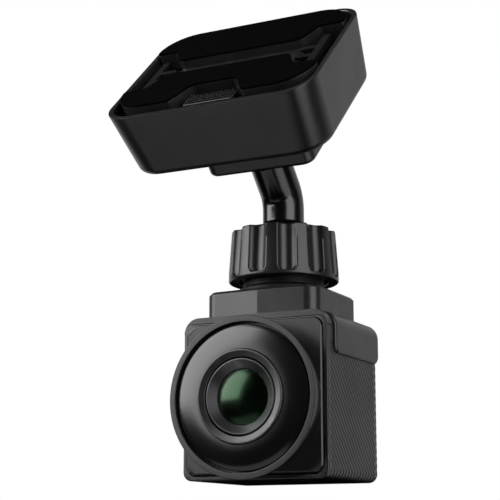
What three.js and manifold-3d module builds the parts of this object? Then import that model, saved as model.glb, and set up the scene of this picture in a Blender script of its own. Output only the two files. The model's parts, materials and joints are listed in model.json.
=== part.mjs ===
// Dash camera that hangs from a windscreen bracket on a clamped ball joint.
// Millimetres, +Z up, the lens looks along -Y. The origin is the middle of the rear adhesive pad's face.
import * as THREE from 'three';
import { mergeVertices } from 'three/addons/utils/BufferGeometryUtils.js';
import Module from 'manifold-3d';

const wasm = await Module();
wasm.setup();

// ---------------------------------------------------------------- driving dimensions
const GAP = 0.3;                 // clearance between pieces that are fitted into each other

const BODY_W = 42;               // camera body
const BODY_D = 33.3;
const BODY_H = 41.6;
const BODY_CORNER = 2.4;
const WALL = 1.6;
const REAR_T = 1.8;              // rear cover's thickness
const PANEL_W = 39.8;            // front panel, set into the front of the body
const PANEL_H = 40;
const PANEL_T = 2;
const PANEL_Z = 21.1;
const CAP_TOP = 43.2;            // top cap, its side ears and its raised platform
const EAR_T = 0.8;
const CAP_W = BODY_W + 2 * EAR_T;
const CAP_CORNER = 4.2;
const EAR_BOTTOM = 32.1;
const EAR_FRONT = 3.4;
const PLATFORM_W = 33;
const PLATFORM_FRONT = 2;
const PLATFORM_BACK = 29.6;
const PLATFORM_TOP = 50.6;
const PLATFORM_CHAMFER = 0.8;

const LENS_Z = 20.7;             // lens unit, radii and how far each ring stands out of the front
const BEZEL_R = 21.05;
const BEZEL_ROOT_R = 19.2;
const BEZEL_OUT = 7.3;
const LIP_R = 19.9;
const DISH_R = 18.9;
const DISH_INNER_R = 12.4;
const TRIM_R = 12;
const TRIM_OUT = 8.5;
const RETAINER_R = 9.6;
const GLASS_R = 7.1;
const BARREL_R = 9.2;
const BARREL_LENGTH = 17;        // behind the front of the body

const JOINT_Y = 18.3;            // vertical axis of the ball joint
const BALL_Z = 61.5;
const BALL_R = 8.5;
const SEAT_INNER_R = 8.75;
const SEAT_OUTER_R = 9.65;
const CAVITY_R = 9.9;
const SOCKET_R = 11.8;
const NUT_BOTTOM = 54.3;
const NUT_TOP = 68.6;
const NUT_BOTTOM_R = 15.2;
const NUT_TOP_R = 14.4;
const NUT_BORE_R = 12.2;
const NUT_MOUTH_R = 10.4;
const NUT_FLUTES = 11;
const FLUTE_R = 3.2;
const FLUTE_END = NUT_BOTTOM + 4.6;
const FLUTE_CENTRE = NUT_BOTTOM_R + 1.6;
const FLUTE_PHASE = 0.15;        // of one pitch
const SLOT_W = 1.1;              // slots that let the socket's fingers bend
const STEM_R = 5.75;
const NECK_R = 4.3;
const STEM_BEND_R = 9;

const TILT = THREE.MathUtils.degToRad(43.8);   // slope of the windscreen from the horizontal
const BRACKET_Y = -11.5;         // middle of the bracket's rim
const BRACKET_Z = 109.5;
const CASE_W = 60.4;
const CASE_L = 50.9;
const CASE_SHIFT = -0.7;         // the case's middle, down the slope from the plate's middle
const CASE_DEPTH = 18.9;
const CASE_CORNER = 8.5;
const CASE_DRAFT = 1.9;
const CASE_WALL = 1.5;
const PLATE_W = 56.4;
const PLATE_L = 44.3;
const PLATE_CORNER = 9.5;
const PLATE_BOTTOM = -4;
const CHANNEL_FLOOR = -1.6;
const BLOCK_TOP = 0.4;
const PAD_BOTTOM = 0.7;
const PAD_TOP = 1.3;
const CHANNEL_HALF = 4.4;        // half of the channel's width, between the two blocks
const NOTCH_HALF = 11.6;         // half length of the notch at each end of the channel
const NOTCH_U = 20;              // where the end notches start, from the middle
const LATCH_NOTCH_U = 9.4;       // half width of the notch for the latch
const LATCH_NOTCH_V = 8.3;
const DECK_TOP = -4.4;
const DECK_T = 1.6;
const NECK_BLOCK_W = 32;
const NECK_BLOCK_L = 15.4;
const NECK_BLOCK_BOTTOM = -30;
const STEM_SOCKET = 7.2;         // how far the stem goes into the neck block
const HOOK_SPOTS = [-3.4, 1.6];  // where the deck's hooks hold the plate, along the channel's width
const HOOK_L = 1.6;
const HOOK_T = 0.9;
const HOOK_REACH = 5.4;
const WEB_U = 18.3;              // half width of the web between the plate's blocks
const WEB_EAR = 1.3;
const RAIL_U = 24.4;             // rails of the deck, beside the plate's channel
const RAIL_T = 2.2;
const RAIL_L = 19;
const RAIL_V = -1.1;
const DECK_MARGIN = 3.7;
const NECK_SCREW_SPOT = [9, 4.2];
const DECK_SCREW_SPOT = [11, 17];
const PILOT_R = 1.1;             // screw holes: the tapped part and the part the screw passes
const CLEARANCE_R = 1.4;
const BOSS_R = 2.6;
const INLET_U = 17.8;            // power inlet in the case's upper wall
const INLET_W = -9.5;
const INLET_L = 9;
const INLET_H = 4.6;
const LATCH_W = 14.6;
const LATCH_TOP = -1;
const LATCH_RIBS = 4;
const LATCH_RIB_PITCH = 1.15;
const SPRING_T = 0.25;
const SPRING_H = 1.1;
const SPRING_HALF = 4.3;

const SCREEN_W = 31;             // rear face
const SCREEN_H = 23.6;
const SCREEN_Z = 25.4;
const BUTTONS = 4;
const BUTTON_W = 5.6;
const BUTTON_H = 3.2;
const BUTTON_Z = 7.4;
const BUTTON_PITCH = 8;
const BUTTON_PROUD = 0.6;
const COVER_SCREW_X = 17.6;
const COVER_SCREW_MARGIN = 2.9;
const CARD_Y = 22;               // memory card, pushed in from the left side
const CARD_Z = 5.6;
const SPEAKER_X = 9;
const SPEAKER_Y = 10;
const SPEAKER_R = 7;
const VENT_PITCH = 2.2;
const CAP_SCREW_X = 14;
const CAP_SCREW_YS = [9, 24];
const SENSOR_Y = 18;
const BOARD_Y = 27;
const BOARD_T = 1.2;

// ---------------------------------------------------------------- finishes
function finish(color, roughness, metalness = 0) {
  return () => new THREE.MeshStandardMaterial({ color, roughness, metalness });
}

const satinBlack = finish(0x1b1b1c, 0.55);
const glossBlack = finish(0x08080a, 0.12);
const mattBlack = finish(0x0c0c0d, 0.85);
const foamBlack = finish(0x050505, 0.95);
const nylon = finish(0x2a2a2c, 0.6);
const opticalGlass = finish(0x16301c, 0.03);
const anodised = finish(0x18181a, 0.35, 0.8);
const steel = finish(0x9a9a9c, 0.3, 1);
const boardGreen = finish(0x0e3b22, 0.6);
const chipBlack = finish(0x101012, 0.5);
const screenBlack = finish(0x05070a, 0.08);
const cellBlue = finish(0x1c3a66, 0.5);
const ceramic = finish(0xb9b0a0, 0.5);

// ---------------------------------------------------------------- solids
function toSolid(geometry) {
  const bare = geometry.clone();
  bare.deleteAttribute('normal');
  bare.deleteAttribute('uv');
  const merged = mergeVertices(bare, 1e-4);
  return new wasm.Manifold(new wasm.Mesh({
    numProp: 3,
    vertProperties: new Float32Array(merged.attributes.position.array),
    triVerts: new Uint32Array(merged.index.array),
  }));
}

function fromSolid(solid) {
  const mesh = solid.getMesh();
  const geometry = new THREE.BufferGeometry();
  geometry.setAttribute('position', new THREE.BufferAttribute(mesh.vertProperties, 3));
  geometry.setIndex(new THREE.BufferAttribute(mesh.triVerts, 1));
  geometry.computeVertexNormals();
  return geometry;
}

function cut(geometry, ...tools) {
  return fromSolid(tools.reduce((solid, tool) => solid.subtract(toSolid(tool)), toSolid(geometry)));
}

function join(geometry, ...others) {
  return fromSolid(others.reduce((solid, other) => solid.add(toSolid(other)), toSolid(geometry)));
}

function roundedRect(width, height, radius, cx = 0, cy = 0) {
  const x = width / 2;
  const y = height / 2;
  const shape = new THREE.Shape();
  shape.moveTo(cx - x + radius, cy - y);
  shape.lineTo(cx + x - radius, cy - y);
  shape.absarc(cx + x - radius, cy - y + radius, radius, -Math.PI / 2, 0);
  shape.lineTo(cx + x, cy + y - radius);
  shape.absarc(cx + x - radius, cy + y - radius, radius, 0, Math.PI / 2);
  shape.lineTo(cx - x + radius, cy + y);
  shape.absarc(cx - x + radius, cy + y - radius, radius, Math.PI / 2, Math.PI);
  shape.lineTo(cx - x, cy - y + radius);
  shape.absarc(cx - x + radius, cy - y + radius, radius, Math.PI, 1.5 * Math.PI);
  return shape;
}

// A flat piece: an outline in the XY plane, from height low to height high.
function slab(shape, low, high, curveSegments = 5) {
  const settings = { depth: high - low, bevelEnabled: false, curveSegments };
  return new THREE.ExtrudeGeometry(shape, settings).translate(0, 0, low);
}

// The same, standing up: the outline's y is height, and the piece runs from front to back along Y.
function upright(shape, front, back, curveSegments = 5) {
  const settings = { depth: back - front, bevelEnabled: false, curveSegments };
  return new THREE.ExtrudeGeometry(shape, settings).rotateX(Math.PI / 2).translate(0, back, 0);
}

function box(width, depth, height, x, y, z) {
  return new THREE.BoxGeometry(width, depth, height).translate(x, y, z);
}

// Turned about Z: the profile is a list of [radius, height].
function turned(profile, segments = 40) {
  const points = profile.map(([r, z]) => new THREE.Vector2(r, z));
  return new THREE.LatheGeometry(points, segments).rotateX(Math.PI / 2);
}

// Turned about the lens axis: the profile is a list of [radius, distance in front of the body].
function lensTurned(profile, segments = 48) {
  const points = profile.map(([r, out]) => new THREE.Vector2(r, out));
  return new THREE.LatheGeometry(points, segments).rotateX(Math.PI).translate(0, 0, LENS_Z);
}

function cylinder(radius, low, high, x, y, segments = 16) {
  return new THREE.CylinderGeometry(radius, radius, high - low, segments)
    .rotateX(Math.PI / 2)
    .translate(x, y, (low + high) / 2);
}

// A tapered rounded box: the outline at the top shrinks by the draft on every side at the bottom.
function taperedBox(width, length, corner, draft, low, high) {
  const geometry = slab(roundedRect(width, length, corner), low, high, 5);
  const position = geometry.attributes.position;
  for (let i = 0; i < position.count; i += 1) {
    const fall = (high - position.getZ(i)) / (high - low);
    position.setX(i, position.getX(i) * (1 - 2 * draft * fall / width));
    position.setY(i, position.getY(i) * (1 - 2 * draft * fall / length));
  }
  geometry.computeVertexNormals();
  return geometry;
}

function arcPoints(radius, fromDeg, toDeg, steps, centre = 0) {
  return Array.from({ length: steps + 1 }, (_, i) => {
    const angle = THREE.MathUtils.degToRad(fromDeg + (toDeg - fromDeg) * i / steps);
    return [radius * Math.cos(angle), centre + radius * Math.sin(angle)];
  });
}

// ---------------------------------------------------------------- scene graph
const part = new THREE.Group();
const camera = new THREE.Group();
const bracket = new THREE.Group();
bracket.rotation.x = TILT;
bracket.position.set(0, BRACKET_Y, BRACKET_Z);
part.add(camera, bracket);

function add(group, name, geometry, material) {
  const mesh = new THREE.Mesh(geometry, material());
  mesh.name = name;
  group.add(mesh);
}

// ---------------------------------------------------------------- windscreen plate
// One block: straight at the outside, stepped back at both ends of the channel.
// side is 1 for the upper block and -1 for the lower one.
function blockOutline(side, latchNotch) {
  const x = PLATE_W / 2;
  const far = PLATE_L / 2;
  const step = 1.6;
  const shape = new THREE.Shape();
  shape.moveTo(-x, side * NOTCH_HALF);
  shape.lineTo(-NOTCH_U - step, side * NOTCH_HALF);
  shape.bezierCurveTo(
    -NOTCH_U, side * NOTCH_HALF,
    -NOTCH_U - step, side * CHANNEL_HALF,
    -NOTCH_U + step, side * CHANNEL_HALF,
  );
  shape.lineTo(NOTCH_U - step, side * CHANNEL_HALF);
  shape.bezierCurveTo(
    NOTCH_U + step, side * CHANNEL_HALF,
    NOTCH_U, side * NOTCH_HALF,
    NOTCH_U + step, side * NOTCH_HALF,
  );
  shape.lineTo(x, side * NOTCH_HALF);
  shape.lineTo(x, side * (far - PLATE_CORNER));
  shape.quadraticCurveTo(x, side * far, x - PLATE_CORNER, side * far);
  if (latchNotch) {
    const u = LATCH_NOTCH_U;
    const inner = far - LATCH_NOTCH_V;
    shape.lineTo(u, side * far);
    shape.bezierCurveTo(u - step, side * far, u, side * inner, u - 2 * step, side * inner);
    shape.lineTo(-u + 2 * step, side * inner);
    shape.bezierCurveTo(-u, side * inner, -u + step, side * far, -u, side * far);
  }
  shape.lineTo(-x + PLATE_CORNER, side * far);
  shape.quadraticCurveTo(-x, side * far, -x, side * (far - PLATE_CORNER));
  shape.closePath();
  return shape;
}

const webT = CHANNEL_FLOOR - PLATE_BOTTOM;
const webW = (CHANNEL_FLOOR + PLATE_BOTTOM) / 2;
const channelWeb = box(2 * WEB_U, 2 * CHANNEL_HALF + 4, webT, 0, 0, webW);
const webEars = HOOK_SPOTS.map((v) => box(2 * (WEB_U + WEB_EAR), HOOK_L, webT, 0, v, webW));
const tongueSlot = box(9, 8, 6, 0, -PLATE_L / 2 + LATCH_NOTCH_V, PLATE_BOTTOM - 1);
const upperBlock = slab(blockOutline(1, false), PLATE_BOTTOM, BLOCK_TOP, 6);
const lowerBlock = slab(blockOutline(-1, true), PLATE_BOTTOM, BLOCK_TOP, 6);
const plateGeometry = cut(join(upperBlock, lowerBlock, channelWeb, ...webEars), tongueSlot);
add(bracket, 'mount_plate', plateGeometry, satinBlack);
add(bracket, 'adhesive_pad_rear', slab(blockOutline(1, false), PAD_BOTTOM, PAD_TOP, 6), foamBlack);
add(bracket, 'adhesive_pad_front', slab(blockOutline(-1, true), PAD_BOTTOM, PAD_TOP, 6), foamBlack);

// ---------------------------------------------------------------- bracket case and deck
function fourSpots([u, v]) {
  return [[-u, -v], [-u, v], [u, -v], [u, v]];
}

const neckScrewSpots = fourSpots(NECK_SCREW_SPOT);
const deckScrewSpots = fourSpots(DECK_SCREW_SPOT);
const insideW = CASE_W - 2 * CASE_WALL;
const insideL = CASE_L - 2 * CASE_WALL;
const floorTop = -CASE_DEPTH + CASE_WALL;
const caseInside = taperedBox(insideW, insideL, CASE_CORNER - CASE_WALL, CASE_DRAFT, floorTop, 0.5)
  .translate(0, CASE_SHIFT, 0);
const caseOutside = taperedBox(CASE_W, CASE_L, CASE_CORNER, CASE_DRAFT, -CASE_DEPTH, 0)
  .translate(0, CASE_SHIFT, 0);
const inletHole = box(INLET_L, 8, INLET_H, INLET_U, CASE_L / 2 - 2, INLET_W);
const bossTop = DECK_TOP - DECK_T - GAP;
const bosses = deckScrewSpots.map(([u, v]) => cylinder(BOSS_R, -CASE_DEPTH + 0.5, bossTop, u, v, 10));
const bossHoles = deckScrewSpots.map(([u, v]) => cylinder(PILOT_R, bossTop - 6, bossTop + 1, u, v, 8));
const neckHoles = neckScrewSpots.map(([u, v]) => (
  cylinder(CLEARANCE_R, -CASE_DEPTH - 1, floorTop + 1, u, v, 8)
));
const caseWithBosses = join(cut(caseOutside, caseInside), ...bosses);
add(bracket, 'bracket_case', cut(caseWithBosses, ...bossHoles, ...neckHoles, inletHole), satinBlack);

const deckOutline = roundedRect(
  CASE_W - 2 * DECK_MARGIN, CASE_L - 2 * DECK_MARGIN, CASE_CORNER - DECK_MARGIN, 0, CASE_SHIFT,
);
const deckPlate = slab(deckOutline, DECK_TOP - DECK_T, DECK_TOP);
const hookBottom = CHANNEL_FLOOR + GAP;
const railTop = hookBottom + HOOK_T;
const railRoot = DECK_TOP - 0.5;
const rails = [-1, 1].map((side) => (
  box(RAIL_T, RAIL_L, railTop - railRoot, side * RAIL_U, RAIL_V, (railTop + railRoot) / 2)
));
const hooks = [-1, 1].flatMap((side) => HOOK_SPOTS.map((v) => (
  box(HOOK_REACH, HOOK_L, HOOK_T, side * (RAIL_U - 3), v, hookBottom + HOOK_T / 2)
)));
const deckScrewHoles = deckScrewSpots.map(([u, v]) => (
  cylinder(CLEARANCE_R, DECK_TOP - DECK_T - 1, DECK_TOP + 1, u, v, 8)
));
add(bracket, 'bracket_deck', cut(join(deckPlate, ...rails, ...hooks), ...deckScrewHoles), mattBlack);

// A pan-head screw with its head's underside at height top, pointing down.
function screw(x, y, top, length, headR = 1.9, shankR = 0.8, headT = 1.1) {
  const profile = [[0, top - length], [shankR, top - length + 0.5], [shankR, top], [headR, top],
    [headR, top + headT], [0, top + headT]];
  return turned(profile, 8).translate(x, y, 0);
}

deckScrewSpots.forEach(([u, v], i) => {
  add(bracket, `deck_screw_${i + 1}`, screw(u, v, DECK_TOP - 1.1, 4.2, 1.2, 0.8, 1), steel);
});
neckScrewSpots.forEach(([u, v], i) => {
  add(bracket, `neck_screw_${i + 1}`, screw(u, v, floorTop + GAP, 7.5), steel);
});

const bracketBoard = slab(roundedRect(36, 24, 1.5, 0, CASE_SHIFT), -12.9, -11.7, 2);
add(bracket, 'bracket_board', bracketBoard, boardGreen);
add(bracket, 'gps_antenna', slab(roundedRect(15, 15, 0.8), -11.4, -8.4, 2), ceramic);

const inletV = CASE_L / 2 + CASE_SHIFT - 1.3;
const inletCollar = upright(roundedRect(INLET_L - 2 * GAP, INLET_H - 2 * GAP, 1.6), -1.2, 1.6, 3);
const inletHollow = upright(roundedRect(INLET_L - 2.4, INLET_H - 2, 0.9), -4, 4, 2);
add(bracket, 'inlet_collar', cut(inletCollar, inletHollow).translate(INLET_U, inletV, INLET_W), mattBlack);
const socketShell = upright(roundedRect(INLET_L - 1.4, INLET_H - 1.2, 1.1), -7.6, -1.6, 2);
const socketMouth = upright(roundedRect(INLET_L - 2.2, INLET_H - 2, 0.8), -6.6, 0, 2);
add(bracket, 'power_socket', cut(socketShell, socketMouth).translate(INLET_U, inletV, INLET_W), steel);

// ---------------------------------------------------------------- neck block, stem and ball
const NECK_BEVEL = 1.4;
const neckTop = -CASE_DEPTH - GAP;
const neckShape = roundedRect(NECK_BLOCK_W, NECK_BLOCK_L, 3.2);
const neckCore = new THREE.ExtrudeGeometry(neckShape, {
  depth: neckTop - NECK_BLOCK_BOTTOM - 3, bevelEnabled: true, bevelSize: NECK_BEVEL, bevelThickness: 1.5,
  bevelSegments: 2, bevelOffset: -NECK_BEVEL, curveSegments: 3,
}).translate(0, 0, NECK_BLOCK_BOTTOM + 1.5);
const neckUpper = slab(neckShape, neckTop - 3, neckTop, 3);
const stemHoleTop = NECK_BLOCK_BOTTOM + STEM_SOCKET + GAP;
const stemHole = cylinder(STEM_R + GAP, NECK_BLOCK_BOTTOM - 1, stemHoleTop, 0, 0, 20);
const neckScrewHoles = neckScrewSpots.map(([u, v]) => cylinder(PILOT_R, neckTop - 8, neckTop + 1, u, v, 8));
add(bracket, 'neck_block', cut(join(neckCore, neckUpper), stemHole, ...neckScrewHoles), satinBlack);

// The stem leaves the bracket square to it, bends, and drops straight down to the ball.
const rootDepth = -NECK_BLOCK_BOTTOM - STEM_SOCKET;
const down = new THREE.Vector3(0, Math.sin(TILT), -Math.cos(TILT));
const rimMiddle = new THREE.Vector3(0, BRACKET_Y, BRACKET_Z);
const root = rimMiddle.clone().addScaledVector(down, rootDepth);
const corner = rimMiddle.clone().addScaledVector(down, (JOINT_Y - BRACKET_Y) / Math.sin(TILT));
const tangent = STEM_BEND_R * Math.tan(TILT / 2);
const bendStart = corner.clone().addScaledVector(down, -tangent);
const bendEnd = corner.clone().add(new THREE.Vector3(0, 0, -tangent));
const stemLow = new THREE.Vector3(0, JOINT_Y, BALL_Z + 9.9);
const stemPath = new THREE.CurvePath();
stemPath.add(new THREE.LineCurve3(root, bendStart));
stemPath.add(new THREE.QuadraticBezierCurve3(bendStart, corner, bendEnd));
stemPath.add(new THREE.LineCurve3(bendEnd, stemLow));
const rodSection = new THREE.Shape().absarc(0, 0, STEM_R, 0, 2 * Math.PI);
const rod = new THREE.ExtrudeGeometry(rodSection, { steps: 14, extrudePath: stemPath, curveSegments: 9 });
const ballProfile = [
  ...arcPoints(BALL_R, -90, 58, 10, BALL_Z),
  [NECK_R, BALL_Z + 7.4], [NECK_R, BALL_Z + 7.8], [STEM_R - 0.4, BALL_Z + 9.4], [STEM_R, BALL_Z + 9.8],
  [STEM_R - 0.6, BALL_Z + 10.8], [0, BALL_Z + 10.8],
];
ballProfile[0][0] = 0;
const ball = turned(ballProfile, 20).translate(0, JOINT_Y, 0);
add(camera, 'stem', join(rod, ball), glossBlack);

// ---------------------------------------------------------------- latch
const latchFront = -PLATE_L / 2 + 0.5;
const latchBack = -PLATE_L / 2 + LATCH_NOTCH_V - 3.4;
const latchBottom = DECK_TOP + GAP;
const latchL = latchBack - latchFront;
const latchH = LATCH_TOP - latchBottom;
const latchPad = box(LATCH_W, latchL, latchH, 0, latchFront + latchL / 2, latchBottom + latchH / 2);
const latchTongue = box(7, 5.4, 1, 0, latchBack + 2.1, latchBottom + 0.5);
const ribs = Array.from({ length: LATCH_RIBS }, (_, i) => (
  box(LATCH_W - 1.4, 0.5, 0.7, 0, latchFront + 0.5 + LATCH_RIB_PITCH * i, LATCH_TOP + 0.1)
));
add(bracket, 'release_latch', join(latchPad, latchTongue, ...ribs), satinBlack);
const springW = latchBottom + 0.9;
const springLeaf = box(9, SPRING_T, SPRING_H, 0, latchFront - 2.1, springW);
const springLegs = [-1, 1].map((side) => (
  box(0.4, 0.5, SPRING_H, side * SPRING_HALF, latchFront - 1.8, springW)
));
add(bracket, 'latch_spring', join(springLeaf, ...springLegs), steel);

// ---------------------------------------------------------------- ball seats, socket and clamp nut
const CUP_STEPS = 4;
function seatRing(fromDeg, toDeg, steps) {
  const outer = arcPoints(SEAT_OUTER_R, fromDeg, toDeg, steps, BALL_Z);
  const inner = arcPoints(SEAT_INNER_R, toDeg, fromDeg, steps, BALL_Z);
  return [...outer, ...inner, outer[0]];
}
add(camera, 'ball_ring', turned(seatRing(-5, 24, 3), 24).translate(0, JOINT_Y, 0), nylon);
const cupOuter = arcPoints(SEAT_OUTER_R, -90, -34, CUP_STEPS, BALL_Z);
const cupInner = arcPoints(SEAT_INNER_R, -34, -90, CUP_STEPS, BALL_Z);
cupOuter[0][0] = 0;
cupInner[CUP_STEPS][0] = 0;
add(camera, 'ball_cup', turned([...cupOuter, ...cupInner], 20).translate(0, JOINT_Y, 0), nylon);

const CAVITY_STEPS = 8;
const COLLAR_R = 12.8;
const WAIST_R = SOCKET_R - 0.6;
const MOUTH_RISE = 5;
const socketBase = PLATFORM_TOP + 0.1;
const socketTop = BALL_Z + MOUTH_RISE;
const mouthAngle = THREE.MathUtils.radToDeg(Math.asin(MOUTH_RISE / CAVITY_R));
const cavity = arcPoints(CAVITY_R, mouthAngle, -90, CAVITY_STEPS, BALL_Z);
cavity[CAVITY_STEPS][0] = 0;
const socketProfile = [
  [0, socketBase], [COLLAR_R, socketBase], [COLLAR_R, socketBase + 1.2], [WAIST_R, socketBase + 1.9],
  [WAIST_R, NUT_BOTTOM + 0.6], [SOCKET_R, NUT_BOTTOM + 1.2], [SOCKET_R, BALL_Z + 1.5],
  [SOCKET_R - 1.7, socketTop], ...cavity,
];
const slots = [0, 1, 2].map((i) => box(SLOT_W, 30, 12, 0, 0, BALL_Z + 3.4).rotateZ(i * Math.PI / 3));
const socketGeometry = cut(turned(socketProfile, 24), ...slots).translate(0, JOINT_Y, 0);
add(camera, 'ball_socket', socketGeometry, mattBlack);

// The nut's flutes run down the side and stop, with round ends, above its plain lower band.
const nutProfile = [
  [NUT_BORE_R, NUT_BOTTOM], [NUT_BOTTOM_R - 0.6, NUT_BOTTOM], [NUT_BOTTOM_R, NUT_BOTTOM + 0.5],
  [NUT_BOTTOM_R - 0.05, NUT_BOTTOM + 3], [NUT_TOP_R + 0.05, NUT_TOP - 0.8], [NUT_TOP_R - 0.7, NUT_TOP],
  [NUT_MOUTH_R + 0.5, NUT_TOP], [NUT_MOUTH_R, NUT_TOP - 0.4], [NUT_MOUTH_R + 0.1, BALL_Z + 5.4],
  [NUT_BORE_R, BALL_Z + 2.4], [NUT_BORE_R, NUT_BOTTOM],
];
const fluteTool = join(
  cylinder(FLUTE_R, FLUTE_END, NUT_TOP + 2, 0, 0, 12),
  new THREE.SphereGeometry(FLUTE_R, 12, 6).rotateX(Math.PI / 2).translate(0, 0, FLUTE_END),
);
const flutes = Array.from({ length: NUT_FLUTES }, (_, i) => {
  const angle = 2 * Math.PI * (i + FLUTE_PHASE) / NUT_FLUTES;
  return fluteTool.clone().translate(FLUTE_CENTRE * Math.cos(angle), FLUTE_CENTRE * Math.sin(angle), 0);
});
add(camera, 'clamp_nut', cut(turned(nutProfile, 33), ...flutes).translate(0, JOINT_Y, 0), satinBlack);

// ---------------------------------------------------------------- body shell, front panel, rear cover
const bodyMiddleZ = BODY_H / 2;
const bodyShape = roundedRect(BODY_W, BODY_H, BODY_CORNER, 0, bodyMiddleZ);
const insideShape = roundedRect(BODY_W - 2 * WALL, BODY_H - 2 * WALL, 1.4, 0, bodyMiddleZ);
const shellBack = BODY_D - REAR_T;
const cardSlot = box(8, 12.4, 2.2, -BODY_W / 2 + 2, CARD_Y, CARD_Z);
const shellOutside = upright(bodyShape, 0, shellBack - 0.1, 4);
const shellInside = upright(insideShape, PANEL_T + 1.2, shellBack + 1, 3);
const seatShape = roundedRect(PANEL_W + 2 * GAP, PANEL_H + 0.4, 2.2, 0, PANEL_Z);
const panelSeat = upright(seatShape, -1, PANEL_T + 1.3, 3);
const ventHoles = [-2, -1, 0, 1, 2].map((i) => (
  cylinder(0.7, -1, 3, SPEAKER_X + i * VENT_PITCH, SPEAKER_Y, 8)
));
const capScrewSpots = [-1, 1].flatMap((side) => CAP_SCREW_YS.map((y) => [side * CAP_SCREW_X, y]));
const capScrewHoles = capScrewSpots.map(([x, y]) => cylinder(PILOT_R, BODY_H - 4, BODY_H + 4.4, x, y, 8));
const shellOpenings = [panelSeat, cardSlot, ...ventHoles, ...capScrewHoles];
add(camera, 'body_shell', cut(shellOutside, shellInside, ...shellOpenings), satinBlack);

const panelShape = roundedRect(PANEL_W, PANEL_H, 2, 0, PANEL_Z);
panelShape.holes.push(new THREE.Path().absarc(0, LENS_Z, 16, 0, 2 * Math.PI));
add(camera, 'front_panel', upright(panelShape, 0, PANEL_T, 6), satinBlack);

// A hole through the rear cover, from depth behind the rear face to outside it.
function rearHole(shape, depth, curveSegments) {
  return upright(shape, BODY_D - depth, BODY_D + 1, curveSegments);
}

const coverScrewSpots = fourSpots([COVER_SCREW_X, bodyMiddleZ - COVER_SCREW_MARGIN])
  .map(([x, z]) => [x, z + bodyMiddleZ]);
const roundShape = (x, z, radius) => new THREE.Shape().absarc(x, z, radius, 0, 2 * Math.PI);
const windowPocket = rearHole(roundedRect(SCREEN_W + 0.4, SCREEN_H + 0.4, 1.2, 0, SCREEN_Z), 1.1, 3);
const displayHole = rearHole(roundedRect(SCREEN_W - 3, SCREEN_H - 3, 0.6, 0, SCREEN_Z), 4, 3);
const buttonXs = Array.from({ length: BUTTONS }, (_, i) => (i - (BUTTONS - 1) / 2) * BUTTON_PITCH);
const buttonHoles = buttonXs.map((x) => (
  rearHole(roundedRect(BUTTON_W + 2 * GAP, BUTTON_H + 2 * GAP, 1.7, x, BUTTON_Z), 4, 2)
));
const coverScrewHoles = coverScrewSpots.map(([x, z]) => rearHole(roundShape(x, z, 0.95), 4, 4));
const coverHeads = coverScrewSpots.map(([x, z]) => rearHole(roundShape(x, z, 1.5), 1.1, 4));
const coverOpenings = [windowPocket, displayHole, ...buttonHoles, ...coverScrewHoles, ...coverHeads];
add(camera, 'rear_cover', cut(upright(bodyShape, shellBack, BODY_D, 4), ...coverOpenings), satinBlack);
coverScrewSpots.forEach(([x, z], i) => {
  const piece = screw(0, 0, 0, 3.6, 1.3, 0.7, 0.7).rotateX(-Math.PI / 2).translate(x, BODY_D - 0.95, z);
  add(camera, `cover_screw_${i + 1}`, piece, steel);
});

const windowShape = roundedRect(SCREEN_W, SCREEN_H, 1, 0, SCREEN_Z);
add(camera, 'screen_window', upright(windowShape, BODY_D - 1, BODY_D - 0.1, 3), screenBlack);
add(camera, 'display_panel', box(SCREEN_W + 1, 2.4, SCREEN_H, 0, shellBack - 1.5, SCREEN_Z), chipBlack);
buttonXs.forEach((x, i) => {
  const keyShape = roundedRect(BUTTON_W, BUTTON_H, 1.5, x, BUTTON_Z);
  const skirtShape = roundedRect(BUTTON_W + 1.6, BUTTON_H + 1.6, 1.6, x, BUTTON_Z);
  const key = upright(keyShape, BODY_D - 1.9, BODY_D + BUTTON_PROUD, 3);
  const skirt = upright(skirtShape, BODY_D - 2.9, BODY_D - 1.9, 3);
  add(camera, `rear_button_${i + 1}`, join(key, skirt), satinBlack);
});

// ---------------------------------------------------------------- top cap
const capBottom = EAR_BOTTOM - 6;
const archShape = roundedRect(CAP_W, CAP_TOP - capBottom, CAP_CORNER, 0, (CAP_TOP + capBottom) / 2);
const capArch = upright(archShape, 0.2, BODY_D, 5);
const belowCap = box(CAP_W + 2, EAR_FRONT + 2, 20, 0, EAR_FRONT / 2 - 1, BODY_H + 0.1 - 10);
const belowEars = box(CAP_W + 2, BODY_D + 4, 20, 0, BODY_D / 2, EAR_BOTTOM - 10);
const roomShape = roundedRect(BODY_W + 0.2, BODY_H + 0.2, BODY_CORNER, 0, bodyMiddleZ);
const bodyRoom = upright(roomShape, -1, BODY_D + 1, 4);
const capShellGeometry = cut(capArch, belowCap, belowEars, bodyRoom);
const px = PLATFORM_W / 2;
const platformOutline = new THREE.Shape();
platformOutline.moveTo(0, PLATFORM_FRONT);
platformOutline.lineTo(px - 3.4, PLATFORM_FRONT + 0.8);
platformOutline.quadraticCurveTo(px, PLATFORM_FRONT + 1, px, PLATFORM_FRONT + 4.2);
platformOutline.lineTo(px, PLATFORM_BACK - 3);
platformOutline.quadraticCurveTo(px, PLATFORM_BACK, px - 3, PLATFORM_BACK);
platformOutline.lineTo(-px + 3, PLATFORM_BACK);
platformOutline.quadraticCurveTo(-px, PLATFORM_BACK, -px, PLATFORM_BACK - 3);
platformOutline.lineTo(-px, PLATFORM_FRONT + 4.2);
platformOutline.quadraticCurveTo(-px, PLATFORM_FRONT + 1, -px + 3.4, PLATFORM_FRONT + 0.8);
platformOutline.closePath();
const platformGeometry = new THREE.ExtrudeGeometry(platformOutline, {
  depth: PLATFORM_TOP - PLATFORM_CHAMFER - CAP_TOP + 0.6,
  bevelEnabled: true, bevelSegments: 1, curveSegments: 4,
  bevelSize: PLATFORM_CHAMFER, bevelThickness: PLATFORM_CHAMFER, bevelOffset: -PLATFORM_CHAMFER,
}).translate(0, 0, CAP_TOP - 0.6);
const platformHollow = box(23, 19, 6, 0, 17, BODY_H + 1.4);
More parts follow.
